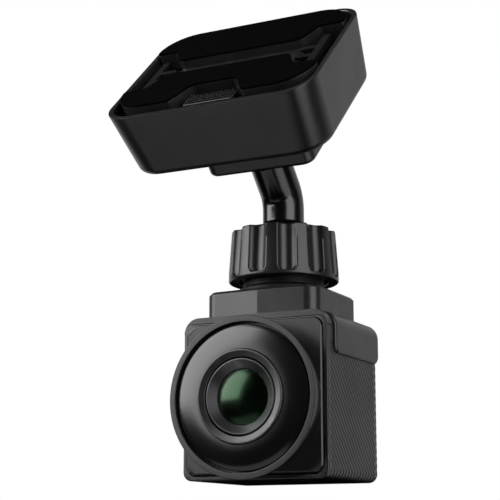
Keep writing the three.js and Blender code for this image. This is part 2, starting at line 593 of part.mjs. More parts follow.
const wholeCap = join(capShellGeometry, platformGeometry);
add(camera, 'top_cap', cut(wholeCap, platformHollow, ...capScrewHoles), satinBlack);

// ---------------------------------------------------------------- lens unit
const rootOut = 0.1;
const seatOut = BEZEL_OUT - 2.2;
const bezelProfile = [
  [13, rootOut], [BEZEL_ROOT_R, rootOut], [BEZEL_R - 0.1, BEZEL_OUT - 0.6], [BEZEL_R - 0.5, BEZEL_OUT],
  [LIP_R + 0.3, BEZEL_OUT], [LIP_R, BEZEL_OUT - 0.4], [LIP_R - 0.3, seatOut], [13, seatOut], [13, rootOut],
];
add(camera, 'bezel_ring', lensTurned(bezelProfile, 40), satinBlack);
const dishProfile = [
  [DISH_INNER_R, BEZEL_OUT - 2], [DISH_R, BEZEL_OUT - 2], [DISH_R, BEZEL_OUT - 0.5],
  [DISH_INNER_R + 0.1, BEZEL_OUT + 0.7], [DISH_INNER_R, BEZEL_OUT - 2],
];
add(camera, 'lens_dish', lensTurned(dishProfile, 40), glossBlack);
const TRIM_BORE_R = 10.2;
const trimProfile = [
  [TRIM_BORE_R, 2], [TRIM_R, 2], [TRIM_R, TRIM_OUT - 0.3], [TRIM_R - 0.4, TRIM_OUT],
  [TRIM_BORE_R + 0.2, TRIM_OUT], [TRIM_BORE_R, TRIM_OUT - 0.4], [TRIM_BORE_R, 2],
];
add(camera, 'trim_ring', lensTurned(trimProfile, 32), anodised);
const retainerBoreR = GLASS_R + 0.1;
const retainerProfile = [
  [retainerBoreR, 3], [RETAINER_R + 0.3, 3], [RETAINER_R + 0.3, TRIM_OUT - 1.2],
  [RETAINER_R, TRIM_OUT - 0.7], [RETAINER_R - 0.5, TRIM_OUT - 0.6],
  [retainerBoreR + 0.3, TRIM_OUT - 1.8], [retainerBoreR, TRIM_OUT - 2.2], [retainerBoreR, 3],
];
add(camera, 'lens_retainer', lensTurned(retainerProfile, 32), anodised);
const glassEdge = TRIM_OUT - 2;
const glassProfile = [
  [0, 3.4], [GLASS_R - 0.1, 3.4], [GLASS_R - 0.1, glassEdge], [6, glassEdge + 0.75],
  [4.4, glassEdge + 1.25], [2.4, glassEdge + 1.6], [0, glassEdge + 1.75],
];
add(camera, 'front_lens', lensTurned(glassProfile, 24), opticalGlass);
const barrelBoreR = 5.6;
const barrelMouthR = 6.6;
const barrelProfile = [
  [barrelBoreR, -BARREL_LENGTH], [BARREL_R, -BARREL_LENGTH], [BARREL_R, 2.6], [barrelMouthR, 2.6],
  [barrelMouthR, -1], [barrelBoreR, -1], [barrelBoreR, -BARREL_LENGTH],
];
add(camera, 'lens_barrel', lensTurned(barrelProfile, 24), anodised);
add(camera, 'inner_lens_1', lensTurned([[0, -3.2], [5.3, -3.6], [5.3, -1.6], [0, -0.6]], 16), opticalGlass);
add(camera, 'inner_lens_2', lensTurned([[0, -8.4], [5.3, -9], [5.3, -7.2], [0, -6]], 16), opticalGlass);
const holderPlate = box(24, 2.4, 24, 0, SENSOR_Y - 3.4, LENS_Z);
const holderBore = upright(roundShape(0, LENS_Z, BARREL_R + GAP), 10, 20, 12);
add(camera, 'lens_holder', cut(holderPlate, holderBore), mattBlack);
add(camera, 'sensor_board', box(25, BOARD_T, 25, 0, SENSOR_Y + BOARD_T, LENS_Z), boardGreen);
add(camera, 'image_sensor', box(7.2, 0.9, 5.8, 0, SENSOR_Y, LENS_Z), screenBlack);

// ---------------------------------------------------------------- electronics
const boardNotch = box(16, 4, 4, -11.6, BOARD_Y, CARD_Z);
add(camera, 'main_board', cut(box(33, BOARD_T, 34, 0, BOARD_Y, PANEL_Z), boardNotch), boardGreen);
add(camera, 'backup_cell', box(19, 4, 8, 8, CARD_Y, BUTTON_Z), cellBlue);
const speakerProfile = [[0, 2], [SPEAKER_R, 2], [SPEAKER_R, 3.2], [SPEAKER_R - 2, 5], [0, 5]];
add(camera, 'speaker', turned(speakerProfile, 16).translate(SPEAKER_X, SPEAKER_Y, 0), mattBlack);
add(camera, 'microphone', box(3.4, 1.2, 2.6, 13, BOARD_Y - 1.3, 36), steel);
const cardCage = box(14.6, 14, 3, -11.9, CARD_Y, CARD_Z);
const cardCageMouth = box(18, 11.8, 1.8, -14.6, CARD_Y, CARD_Z);
add(camera, 'card_cage', cut(cardCage, cardCageMouth), steel);
add(camera, 'memory_card', box(15, 11, 1, -BODY_W / 2 + 7.2, CARD_Y, CARD_Z), chipBlack);
capScrewSpots.forEach(([x, y], i) => {
  const piece = screw(0, 0, 0, 5, 1.9, 0.8, 0.9).rotateX(Math.PI).translate(x, y, BODY_H - WALL - 0.1);
  add(camera, `cap_screw_${i + 1}`, piece, steel);
});

const xAxis = new THREE.Vector3(1, 0, 0);
const padV = (CHANNEL_HALF + PLATE_L / 2) / 2;
const padMiddle = new THREE.Vector3(0, padV, PAD_TOP).applyAxisAngle(xAxis, TILT);
part.position.copy(padMiddle.add(rimMiddle)).negate();
part.updateMatrixWorld(true);

export default part;
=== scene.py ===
import json
import math

import bmesh
import bpy
from mathutils import Matrix, Vector

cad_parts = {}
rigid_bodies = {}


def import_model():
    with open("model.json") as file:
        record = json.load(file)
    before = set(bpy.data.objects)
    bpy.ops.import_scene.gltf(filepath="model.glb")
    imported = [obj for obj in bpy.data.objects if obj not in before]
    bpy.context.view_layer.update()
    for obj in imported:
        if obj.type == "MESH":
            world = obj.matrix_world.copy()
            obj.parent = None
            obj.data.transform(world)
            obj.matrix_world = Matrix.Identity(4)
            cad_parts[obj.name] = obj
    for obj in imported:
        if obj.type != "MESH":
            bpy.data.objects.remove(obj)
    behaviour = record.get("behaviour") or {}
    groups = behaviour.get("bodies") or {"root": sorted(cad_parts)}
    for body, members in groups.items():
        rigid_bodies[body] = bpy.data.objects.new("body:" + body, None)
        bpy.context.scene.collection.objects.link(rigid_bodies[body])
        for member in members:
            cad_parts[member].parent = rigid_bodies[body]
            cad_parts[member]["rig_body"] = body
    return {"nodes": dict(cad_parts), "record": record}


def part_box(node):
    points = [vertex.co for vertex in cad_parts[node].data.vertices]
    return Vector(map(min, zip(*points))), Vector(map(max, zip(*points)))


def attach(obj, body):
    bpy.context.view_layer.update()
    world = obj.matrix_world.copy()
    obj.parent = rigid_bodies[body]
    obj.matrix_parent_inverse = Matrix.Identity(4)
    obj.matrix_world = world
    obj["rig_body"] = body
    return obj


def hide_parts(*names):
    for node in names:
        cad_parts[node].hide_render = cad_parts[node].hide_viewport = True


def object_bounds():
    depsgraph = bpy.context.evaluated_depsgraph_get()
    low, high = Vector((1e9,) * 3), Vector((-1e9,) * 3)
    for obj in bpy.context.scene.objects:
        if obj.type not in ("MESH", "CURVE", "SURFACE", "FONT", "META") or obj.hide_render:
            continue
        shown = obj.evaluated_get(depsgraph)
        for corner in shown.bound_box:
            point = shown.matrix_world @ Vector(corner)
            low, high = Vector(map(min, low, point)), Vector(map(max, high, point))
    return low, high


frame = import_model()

CAD_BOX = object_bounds()
scene = bpy.context.scene

# ---------------------------------------------------------------- driving dimensions
BODY_W, BODY_D, BODY_H = 42.0, 33.3, 41.6
BODY_CORNER = 2.4
SHELL_FRONT = 0.05
PANEL_GAP = 0.15
SHELL_BACK = 31.45
RIB_PITCH = 1.89                 # grip ribs on the body's sides, measured along the body
RIB_SLANT = 0.93                 # how far a rib runs back for each millimetre it drops
RIB_DEPTH = 0.16
PANEL_W, PANEL_H, PANEL_Z = 39.8, 40.0, 21.1
PANEL_CHAMFER = 0.85
CAP_TOP = 43.2
EAR_T = 0.8
EAR_BOTTOM, EAR_FRONT = 32.1, 4.0
CAP_CORNER = 4.2
PLATFORM_W, PLATFORM_FRONT, PLATFORM_BACK, PLATFORM_TOP = 33.0, 2.0, 29.6, 50.6
LENS_Z = 20.7
BEZEL_OUT, TRIM_OUT = 7.3, 8.5
JOINT_Y, BALL_Z, BALL_R = 18.3, 61.5, 8.5
NUT_BOTTOM, NUT_TOP = 54.3, 68.6
NUT_BOTTOM_R, NUT_TOP_R = 15.2, 14.4
NUT_FLUTES = 11
STEM_R, NECK_R, STEM_BEND_R = 5.75, 4.3, 9.0
TILT = math.radians(43.8)        # slope of the windscreen
BRACKET_Y, BRACKET_Z = -11.5, 109.5
CASE_W, CASE_L, CASE_SHIFT, CASE_DEPTH = 60.4, 50.9, -0.7, 18.9
CASE_CORNER, CASE_DRAFT, CASE_WALL = 8.5, 1.9, 1.5
PLATE_W, PLATE_L, PLATE_CORNER, PLATE_BOTTOM = 56.4, 44.3, 9.5, -4.0
CHANNEL_FLOOR, CHANNEL_HALF, NOTCH_HALF, NOTCH_U = -1.6, 4.4, 11.6, 20.0
LATCH_U, LATCH_V, LATCH_TOP = 9.4, 8.3, -1.0
BLOCK_TOP, PAD_TOP = 0.7, 1.3
DECK_TOP, DECK_T = -4.4, 1.6
NECK_W, NECK_L, NECK_BOTTOM, STEM_SOCKET = 32.0, 15.4, -30.0, 7.2
INLET_U, INLET_W, INLET_L, INLET_H = 17.8, -9.5, 9.0, 4.6
HOOK_SPOTS, HOOK_L = (-3.4, 1.6), 1.6    # the deck's hooks, across the channel
PANEL_BORE_R = 16.0
GLASS_R, INNER_GLASS_R = 7.1, 5.3
CARD_Y, CARD_Z = 22.0, 5.6
SPEAKER_X, SPEAKER_Y, VENT_PITCH = 9.0, 10.0, 2.2
SCREEN_W, SCREEN_H, SCREEN_Z = 31.0, 23.6, 25.4
BUTTON_XS, BUTTON_Z = (-12.0, -4.0, 4.0, 12.0), 7.4
SCREW_SPOTS = [(x, z) for x in (-17.6, 17.6) for z in (2.9, BODY_H - 2.9)]

# ---------------------------------------------------------------- placing
MM = Matrix.Scale(0.001, 4)
body_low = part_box("body_shell")[0]
BODY = Matrix.Translation((0, body_low.y, body_low.z)) @ MM
STANDING = Matrix(((1, 0, 0, 0), (0, 0, -1, 0), (0, 1, 0, 0), (0, 0, 0, 1)))    # stands a flat outline up
UPRIGHT = BODY @ STANDING        # x, height, out of the front
LENS = UPRIGHT @ Matrix.Translation((0, LENS_Z, 0))
JOINT = BODY @ Matrix.Translation((0, JOINT_Y, 0))
BRACKET = BODY @ Matrix.Translation((0, BRACKET_Y, BRACKET_Z)) @ Matrix.Rotation(TILT, 4, "X")


# ---------------------------------------------------------------- outlines
def rounded(corners, steps=6, closed=True):
    """A path through (x, y, radius) corners, each one rounded by an arc of its radius."""
    points = []
    last = len(corners) - 1
    for i, (x, y, radius) in enumerate(corners):
        here = Vector((x, y))
        if radius == 0 or (not closed and i in (0, last)):
            points.append(here)
            continue
        back = (Vector(corners[i - 1][:2]) - here).normalized()
        ahead = (Vector(corners[(i + 1) % len(corners)][:2]) - here).normalized()
        half = back.angle(ahead) / 2
        centre = here + (back + ahead).normalized() * radius / math.sin(half)
        start = here + back * radius / math.tan(half) - centre
        turn = -1 if back.cross(ahead) > 0 else 1
        for k in range(steps + 1):
            angle = turn * (math.pi - 2 * half) * k / steps
            spot = centre + Matrix.Rotation(angle, 2) @ start
            if not points or (spot - points[-1]).length > 1e-4:
                points.append(spot)
    if closed and (points[0] - points[-1]).length < 1e-4:
        points.pop()
    return points


def rect(width, height, radius, cx=0.0, cy=0.0, steps=6):
    x, y = width / 2, height / 2
    return rounded([(cx + x, cy - y, radius), (cx + x, cy + y, radius), (cx - x, cy + y, radius),
                    (cx - x, cy - y, radius)], steps)


def circle(radius, cx=0.0, cy=0.0, steps=32):
    turns = [2 * math.pi * k / steps for k in range(steps)]
    return [Vector((cx + radius * math.cos(a), cy + radius * math.sin(a))) for a in turns]


def hole(outline):
    return outline[::-1]


def dense(outline, step, where):
    """The outline with more points on the stretches that where(point, next) accepts."""
    points = []
    for here, after in zip(outline, outline[1:] + outline[:1]):
        parts = max(1, round((after - here).length / step)) if where(here, after) else 1
        points += [here.lerp(after, k / parts) for k in range(parts)]
    return points


def inset(outline, distance):
    """The outline moved to its left, which is inwards where it runs anticlockwise."""
    moved = []
    for i, here in enumerate(outline):
        a = (here - outline[i - 1]).normalized()
        b = (outline[(i + 1) % len(outline)] - here).normalized()
        side = Vector((-a.y - b.y, a.x + b.x)).normalized()
        moved.append(here + side * distance / max(0.4, side.dot(Vector((-a.y, a.x)))))
    return moved


def edge(low, high, round_low, round_high, steps=3):
    """A slab's edge as (inset, height) pairs, from its lower face to its upper one."""
    quarter = [k / steps * math.pi / 2 for k in range(steps + 1)]
    lower = [(round_low * (1 - math.sin(a)), low + round_low * (1 - math.cos(a))) for a in quarter]
    upper = [(round_high * (1 - math.cos(a)), high - round_high * (1 - math.sin(a))) for a in quarter]
    return lower + upper


# ---------------------------------------------------------------- meshes
def bridge(mesh, lower, upper):
    for i in range(len(lower)):
        corners = list(dict.fromkeys((lower[i - 1], lower[i], upper[i], upper[i - 1])))
        if len(corners) > 2:
            mesh.faces.new(corners)


def slab(outlines, profile, into=None, hole_profile=None):
    """A flat piece: outlines[0] is its edge and the others, which run clockwise, are holes."""
    mesh = into or bmesh.new()
    rims = ([], [])
    for outline in outlines:
        steps = profile if outline is outlines[0] or not hole_profile else hole_profile
        rings = []
        for away, height in steps:
            rings.append([mesh.verts.new((p.x, p.y, height)) for p in inset(outline, away)])
        for lower, upper in zip(rings, rings[1:]):
            bridge(mesh, lower, upper)
        for rim, ring in zip(rims, (rings[0], rings[-1])):
            rim.append(ring)
    for rim in rims:
        if len(outlines) == 1:
            mesh.faces.new(rim[0])
            continue
        edges = [mesh.edges.get((a, b)) for ring in rim for a, b in zip(ring, ring[1:] + ring[:1])]
        bmesh.ops.triangle_fill(mesh, edges=edges, use_beauty=True)
    bmesh.ops.recalc_face_normals(mesh, faces=mesh.faces)
    return mesh


def block(x, y, low, high, width, length, radius=0.4, soft=0.15, into=None):
    """A small block with round upright edges and softened rims."""
    return slab([rect(width, length, radius, x, y, 3)], edge(low, high, soft, soft, 2), into)


def turned(profile, segments=96, shape=None):
    """A solid turned about Z from a closed (radius, height) profile; shape varies a radius by angle."""
    mesh = bmesh.new()
    rings = []
    for radius, height in profile:
        if radius < 1e-6:
            rings.append([mesh.verts.new((0, 0, height))] * segments)
            continue
        ring = []
        for k in range(segments):
            angle = 2 * math.pi * k / segments
            reach = shape(radius, height, angle) if shape else radius
            ring.append(mesh.verts.new((reach * math.cos(angle), reach * math.sin(angle), height)))
        rings.append(ring)
    for lower, upper in zip(rings, rings[1:] + rings[:1]):
        bridge(mesh, lower, upper)
    bmesh.ops.recalc_face_normals(mesh, faces=mesh.faces)
    return mesh


def lofted(rings):
    """A skin through rings of 3-D points, whose first and last rings are closed by flat faces."""
    mesh = bmesh.new()
    rings = [[mesh.verts.new(p) for p in ring] for ring in rings]
    for lower, upper in zip(rings, rings[1:]):
        bridge(mesh, lower, upper)
    mesh.faces.new(rings[0])
    mesh.faces.new(rings[-1])
    bmesh.ops.recalc_face_normals(mesh, faces=mesh.faces)
    return mesh


def swept(path, radii, segments=48):
    """A round rod of changing radius along a path in the YZ plane."""
    rings = []
    for i, spot in enumerate(path):
        tangent = (path[min(i + 1, len(path) - 1)] - path[max(i - 1, 0)]).normalized()
        across = tangent.cross(Vector((1, 0, 0)))
        turns = [2 * math.pi * k / segments for k in range(segments)]
        ring = [math.cos(a) * Vector((1, 0, 0)) + math.sin(a) * across for a in turns]
        rings.append([spot + radii[i] * spoke for spoke in ring])
    return lofted(rings)


def mesh_object(name, mesh, place):
    mesh.transform(place)
    data = bpy.data.meshes.new(name)
    mesh.to_mesh(data)
    mesh.free()
    thing = bpy.data.objects.new(name, data)
    scene.collection.objects.link(thing)
    return thing


def merge(mesh, other):
    """Puts the faces of one mesh into another and lets the first one go."""
    data = bpy.data.meshes.new("merged")
    other.to_mesh(data)
    other.free()
    mesh.from_mesh(data)
    bpy.data.meshes.remove(data)


def piece(node, mesh, place, cutters=None, sharp=32, crease=None):
    """The fine piece for a CAD node, in its body and finish; crease picks more edges to keep sharp."""
    thing = mesh_object(node + "_fine", mesh, place)
    if cutters:
        tool = mesh_object("tool", cutters, place)
        boolean = thing.modifiers.new("cut", "BOOLEAN")
        boolean.object = tool
        boolean.solver = "EXACT"
        graph = bpy.context.evaluated_depsgraph_get()
        data = bpy.data.meshes.new_from_object(thing.evaluated_get(graph))
        thing.modifiers.clear()
        thing.data = data
        bpy.data.objects.remove(tool)
    data = thing.data
    data.materials.clear()
    data.materials.append(FINISHES[SLOT_OF[node]])
    data.shade_smooth()
    data.set_sharp_from_angle(angle=math.radians(sharp))
    for line in data.edges if crease else ():
        if all(crease(data.vertices[i].co) for i in line.vertices):
            line.use_edge_sharp = True
    even = thing.modifiers.new("even_normals", "WEIGHTED_NORMAL")
    even.keep_sharp = True
    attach(thing, frame["nodes"][node]["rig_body"])
    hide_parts(node)
    return thing


# ---------------------------------------------------------------- finishes
def material(name):
    made = bpy.data.materials.new(name)
    made.use_nodes = True
    tree = made.node_tree
    return made, tree, tree.nodes["Principled BSDF"]


def noise(tree, scale, detail=3.0, stretch=(1, 1, 1)):
    """Noise fixed to the object, whose scale is in cycles per metre."""
    where = tree.nodes.new("ShaderNodeTexCoord")
    mapping = tree.nodes.new("ShaderNodeMapping")
    mapping.inputs["Scale"].default_value = stretch
    made = tree.nodes.new("ShaderNodeTexNoise")
    made.inputs["Scale"].default_value = scale
    made.inputs["Detail"].default_value = detail
    tree.links.new(where.outputs["Object"], mapping.inputs["Vector"])
    tree.links.new(mapping.outputs["Vector"], made.inputs["Vector"])
    return made.outputs["Fac"]


def ranged(tree, value, low, high, start=0.3, end=0.7):
    made = tree.nodes.new("ShaderNodeMapRange")
    made.inputs["From Min"].default_value = start
    made.inputs["From Max"].default_value = end
    made.inputs["To Min"].default_value = low
    made.inputs["To Max"].default_value = high
    tree.links.new(value, made.inputs["Value"])
    return made.outputs["Result"]


def mixed(tree, factor, dark, light):
    made = tree.nodes.new("ShaderNodeMix")
    made.data_type = "RGBA"
    made.inputs["A"].default_value = (*dark, 1)
    made.inputs["B"].default_value = (*light, 1)
    tree.links.new(factor, made.inputs["Factor"])
    return made.outputs["Result"]


def bumped(tree, shader, height, strength, depth):
    made = tree.nodes.new("ShaderNodeBump")
    made.inputs["Strength"].default_value = strength
    made.inputs["Distance"].default_value = depth
    tree.links.new(height, made.inputs["Height"])
    tree.links.new(made.outputs["Normal"], shader.inputs["Normal"])


def worn_edges(tree, amount):
    """A mask of the convex edges, broken up by noise, where handling polishes the surface."""
    geometry = tree.nodes.new("ShaderNodeNewGeometry")
    rim = ranged(tree, geometry.outputs["Pointiness"], 0, amount, 0.515, 0.56)
    patchy = ranged(tree, noise(tree, 260), 0.2, 1, 0.42, 0.62)
    both = tree.nodes.new("ShaderNodeMath")
    both.operation = "MULTIPLY"
    tree.links.new(rim, both.inputs[0])
    tree.links.new(patchy, both.inputs[1])
    return both.outputs["Value"]


def moulded(name, dark, light, rough, grain, specular=0.5, wear=0.5, grain_scale=5200):
    """Moulded plastic: fine spark grain, slightly uneven sheen, edges polished by handling."""
    made, tree, shader = material(name)
    tree.links.new(mixed(tree, worn_edges(tree, wear), dark, light), shader.inputs["Base Color"])
    cloud = noise(tree, 90, 4.0)
    tree.links.new(ranged(tree, cloud, rough[0], rough[1]), shader.inputs["Roughness"])
    shader.inputs["Specular IOR Level"].default_value = specular
    bumped(tree, shader, noise(tree, grain_scale, 2.0), grain, 0.00004)
    return made


def satin_black():
    return moulded("satin_black_plastic", (0.012, 0.012, 0.0125), (0.03, 0.03, 0.031), (0.29, 0.36), 0.14)


def gloss_black():
    return moulded("gloss_black_plastic", (0.004, 0.004, 0.0045), (0.01, 0.01, 0.01), (0.2, 0.24), 0.02,
                   0.6, 0.3, 1500)


def matt_black():
    return moulded("matt_black_plastic", (0.003, 0.003, 0.0031), (0.007, 0.007, 0.007), (0.5, 0.62),
                   0.3, 0.25)


def foam():
    made, tree, shader = material("adhesive_foam")
    cells = noise(tree, 2400, 5.0)
    tree.links.new(mixed(tree, ranged(tree, cells, 0, 1), (0.0003, 0.0003, 0.0003), (0.001, 0.001, 0.001)),
                   shader.inputs["Base Color"])
    tree.links.new(ranged(tree, noise(tree, 140), 0.75, 0.95), shader.inputs["Roughness"])
    shader.inputs["Specular IOR Level"].default_value = 0.03
    bumped(tree, shader, cells, 0.5, 0.00008)
    return made


def nylon():
    return moulded("grey_nylon", (0.02, 0.02, 0.021), (0.04, 0.04, 0.04), (0.45, 0.6), 0.2)


def coated_glass():
    """Lens glass whose anti-reflection coating throws back green."""
    made, tree, shader = material("coated_glass")
    shader.inputs["Base Color"].default_value = (0.02, 0.05, 0.025, 1)
    shader.inputs["Transmission Weight"].default_value = 1.0
    shader.inputs["IOR"].default_value = 1.55
    shader.inputs["Specular Tint"].default_value = (0.4, 0.76, 0.44, 1)
    tree.links.new(ranged(tree, noise(tree, 200), 0.2, 0.22), shader.inputs["Roughness"])
    return made


def anodised():
    """Black anodised aluminium with a fine, even grain in its surface."""
    made, tree, shader = material("anodised_black")
    tree.links.new(mixed(tree, worn_edges(tree, 0.6), (0.06, 0.06, 0.062), (0.14, 0.14, 0.14)),
                   shader.inputs["Base Color"])
    shader.inputs["Metallic"].default_value = 0.8
    tree.links.new(ranged(tree, noise(tree, 300, 3.0), 0.3, 0.4), shader.inputs["Roughness"])
    bumped(tree, shader, noise(tree, 4000, 2.0), 0.12, 0.00003)
    return made


def steel():
    made, tree, shader = material("steel")
    streaks = noise(tree, 1500, 4.0, (1, 1, 8))
    tree.links.new(mixed(tree, streaks, (0.42, 0.42, 0.43), (0.62, 0.62, 0.62)), shader.inputs["Base Color"])
    shader.inputs["Metallic"].default_value = 1.0
    tree.links.new(ranged(tree, streaks, 0.24, 0.4), shader.inputs["Roughness"])
    bumped(tree, shader, streaks, 0.1, 0.00003)
    return made


def circuit_board():
    """Solder mask over traces: fine streaks that run one way, raised a little."""
    made, tree, shader = material("circuit_board")
    traces = noise(tree, 420, 2.0, (1, 1, 5))
    copper = ranged(tree, traces, 0, 1, 0.47, 0.53)
    tree.links.new(mixed(tree, copper, (0.004, 0.05, 0.02), (0.012, 0.11, 0.045)),
                   shader.inputs["Base Color"])
    tree.links.new(ranged(tree, noise(tree, 700), 0.3, 0.5), shader.inputs["Roughness"])
    bumped(tree, shader, traces, 0.3, 0.00004)
    return made


def screen_glass():
    made, tree, shader = material("screen_glass")
    tree.links.new(mixed(tree, noise(tree, 60), (0.002, 0.0025, 0.003), (0.004, 0.0045, 0.005)),
                   shader.inputs["Base Color"])
    smears = noise(tree, 110, 5.0, (1, 1, 2.5))
    tree.links.new(ranged(tree, smears, 0.03, 0.12, 0.45, 0.75), shader.inputs["Roughness"])
    shader.inputs["Coat Weight"].default_value = 0.6
    shader.inputs["Coat Roughness"].default_value = 0.03
    return made


def dark_component():
    return moulded("dark_component", (0.01, 0.01, 0.011), (0.03, 0.03, 0.03), (0.4, 0.55), 0.3)


def cell_wrap():
    return moulded("cell_wrap", (0.02, 0.07, 0.2), (0.05, 0.12, 0.28), (0.25, 0.4), 0.1)


def ceramic():
    return moulded("ceramic", (0.45, 0.4, 0.32), (0.6, 0.55, 0.46), (0.4, 0.6), 0.35)


FINISHES = {
    "satin_black_plastic": satin_black(), "gloss_black_plastic": gloss_black(),
    "matt_black_plastic": matt_black(), "adhesive_foam": foam(), "grey_nylon": nylon(),
    "coated_glass": coated_glass(), "anodised_black": anodised(),
    "steel": steel(), "circuit_board": circuit_board(), "screen_glass": screen_glass(),
    "dark_component": dark_component(), "cell_wrap": cell_wrap(), "ceramic": ceramic(),
}
SLOT_OF = {part["node"]: part["material_slot"] for part in frame["record"]["subparts"]}
for node_name, node_object in frame["nodes"].items():
    if not node_object.material_slots:
        node_object.data.materials.append(None)
    for material_slot in node_object.material_slots:
        material_slot.material = FINISHES[SLOT_OF[node_name]]


# ---------------------------------------------------------------- camera body
def on_side(here, after):
    return abs(here.x) > BODY_W / 2 - 0.01 and abs(after.x) > BODY_W / 2 - 0.01


SIDE_STEP = 0.33
BODY_OUTLINE = dense(rect(BODY_W, BODY_H, BODY_CORNER, 0, BODY_H / 2, 8), SIDE_STEP, on_side)


def rib_relief(mesh):
    """Presses the grip ribs into the sides: slanted on the flat, straight round the lower edge."""
    front_end, back_end = 1.2, BODY_D - 0.4
    inner = Vector((BODY_W / 2 - BODY_CORNER, BODY_CORNER))
    for vert in mesh.verts:
        x, z, y = abs(vert.co.x), vert.co.y, -vert.co.z
        if x < inner.x or z > EAR_BOTTOM + 3:
            continue
        out = Vector((x - inner.x, min(0.0, z - inner.y)))
        if out.length < BODY_CORNER - 0.5:
            continue
        out.normalize()
        across = (y + RIB_SLANT * max(z, BODY_CORNER)) / RIB_PITCH
        sink = RIB_DEPTH * (0.5 + 0.5 * math.cos(2 * math.pi * across))
        sink *= min(1, max(0, (y - front_end) / 0.6)) * min(1, max(0, (back_end - y) / 0.5))
        sink *= min(1, max(0, (out.x - 0.1) / 0.5))
        vert.co.x -= math.copysign(sink * out.x, vert.co.x)
        vert.co.y -= sink * out.y


def body_shell():
    front_round, back_round, ring_step = 0.4, 0.25, 0.2
    front = [(front_round * (1 - math.sin(a)), -SHELL_FRONT - front_round * (1 - math.cos(a)))
             for a in (math.pi / 12 * k for k in range(7))]
    first, last = SHELL_FRONT + front_round, SHELL_BACK - back_round
    count = round((last - first) / ring_step)
    side = [(0, -first - (last - first) * k / count) for k in range(1, count + 1)]
    opening = hole(rect(PANEL_W + 2 * PANEL_GAP, PANEL_H + 2 * PANEL_GAP, 3.05, 0, PANEL_Z, 10))
    inside = [(-0.08, -SHELL_FRONT), (0, -SHELL_FRONT - 0.08), (0, -SHELL_BACK)]
    mesh = slab([BODY_OUTLINE, opening], front + side + [(back_round, -SHELL_BACK)], hole_profile=inside)
    rib_relief(mesh)
    cutters = bmesh.new()
    card_half, slot_h, vent_r = 6.2, 2.2, 0.5
    slot = rect(8, slot_h, 0.6, -BODY_W / 2, CARD_Z, 3)
    slab([slot], [(0, -CARD_Y - card_half), (0, -CARD_Y + card_half)], cutters)
    for i in range(-2, 3):
        for j in range(-1, 2):
            vent = bmesh.ops.create_cone(cutters, cap_ends=True, segments=16, radius1=vent_r,
                                         radius2=vent_r, depth=6)
            spot = Matrix.Translation((SPEAKER_X + VENT_PITCH * i, 0, -SPEAKER_Y - VENT_PITCH * j))
            upright_axis = Matrix.Rotation(math.pi / 2, 4, "X")
            bmesh.ops.transform(cutters, matrix=spot @ upright_axis, verts=vent["verts"])
    piece("body_shell", mesh, UPRIGHT, cutters)


def front_panel():
    profile = [(0.1, -1.2), (0, -1.1), (0, -PANEL_CHAMFER - 0.05), (0.05, -PANEL_CHAMFER + 0.03),
               (PANEL_CHAMFER - 0.06, -0.05), (PANEL_CHAMFER + 0.03, 0)]
    bore = hole(circle(PANEL_BORE_R, 0, LENS_Z, 64))
    panel = slab([rect(PANEL_W, PANEL_H, 2.9, 0, PANEL_Z, 10), bore], profile)
    top = PANEL_Z + PANEL_H / 2
    for vert in panel.verts:
        if vert.co.z > -PANEL_CHAMFER - 0.2 and vert.co.y > top - 4:
            vert.co.y += 0.22 * (vert.co.y - top + 4)
    # Down its left side the panel is almost flush with the shell, so its chamfer dies out there.
    flat_reach, blend_reach = PANEL_CHAMFER + 0.05, 2.5
    for vert in panel.verts:
        from_left = vert.co.x + PANEL_W / 2
        fade = 0.85 * min(1.0, max(0.0, 1 - (from_left - flat_reach) / blend_reach))
        if vert.co.z > -PANEL_CHAMFER - 0.1:
            vert.co.z *= 1 - fade
            if from_left < flat_reach:
                vert.co.x -= fade * from_left
    piece("front_panel", panel, UPRIGHT, sharp=20)


def rear_cover():
    """The plate on the back, round outside, with a lip into every opening."""
    round_r, lip, inner = 1.1, 0.15, -SHELL_BACK - 0.05
    openings = [rect(SCREEN_W + 0.3, SCREEN_H + 0.3, 1.1, 0, SCREEN_Z, 6)]
    openings += [rect(6.1, 3.7, 1.6, x, BUTTON_Z, 8) for x in BUTTON_XS]
    openings += [circle(1.5, x, z, 24) for x, z in SCREW_SPOTS]
    profile = [(round_r * (1 - math.cos(a)), -(BODY_D - round_r * (1 - math.sin(a))))
               for a in (math.pi / 12 * k for k in range(6, -1, -1))]
    profile += [(0, -32.0), (0, -SHELL_BACK - 0.3), (0.25, inner)]
    walls = [(-lip, -BODY_D), (0, -BODY_D + lip), (0, inner)]
    cover = slab([BODY_OUTLINE] + [hole(opening) for opening in openings], profile, hole_profile=walls)
    rib_relief(cover)
    piece("rear_cover", cover, UPRIGHT)


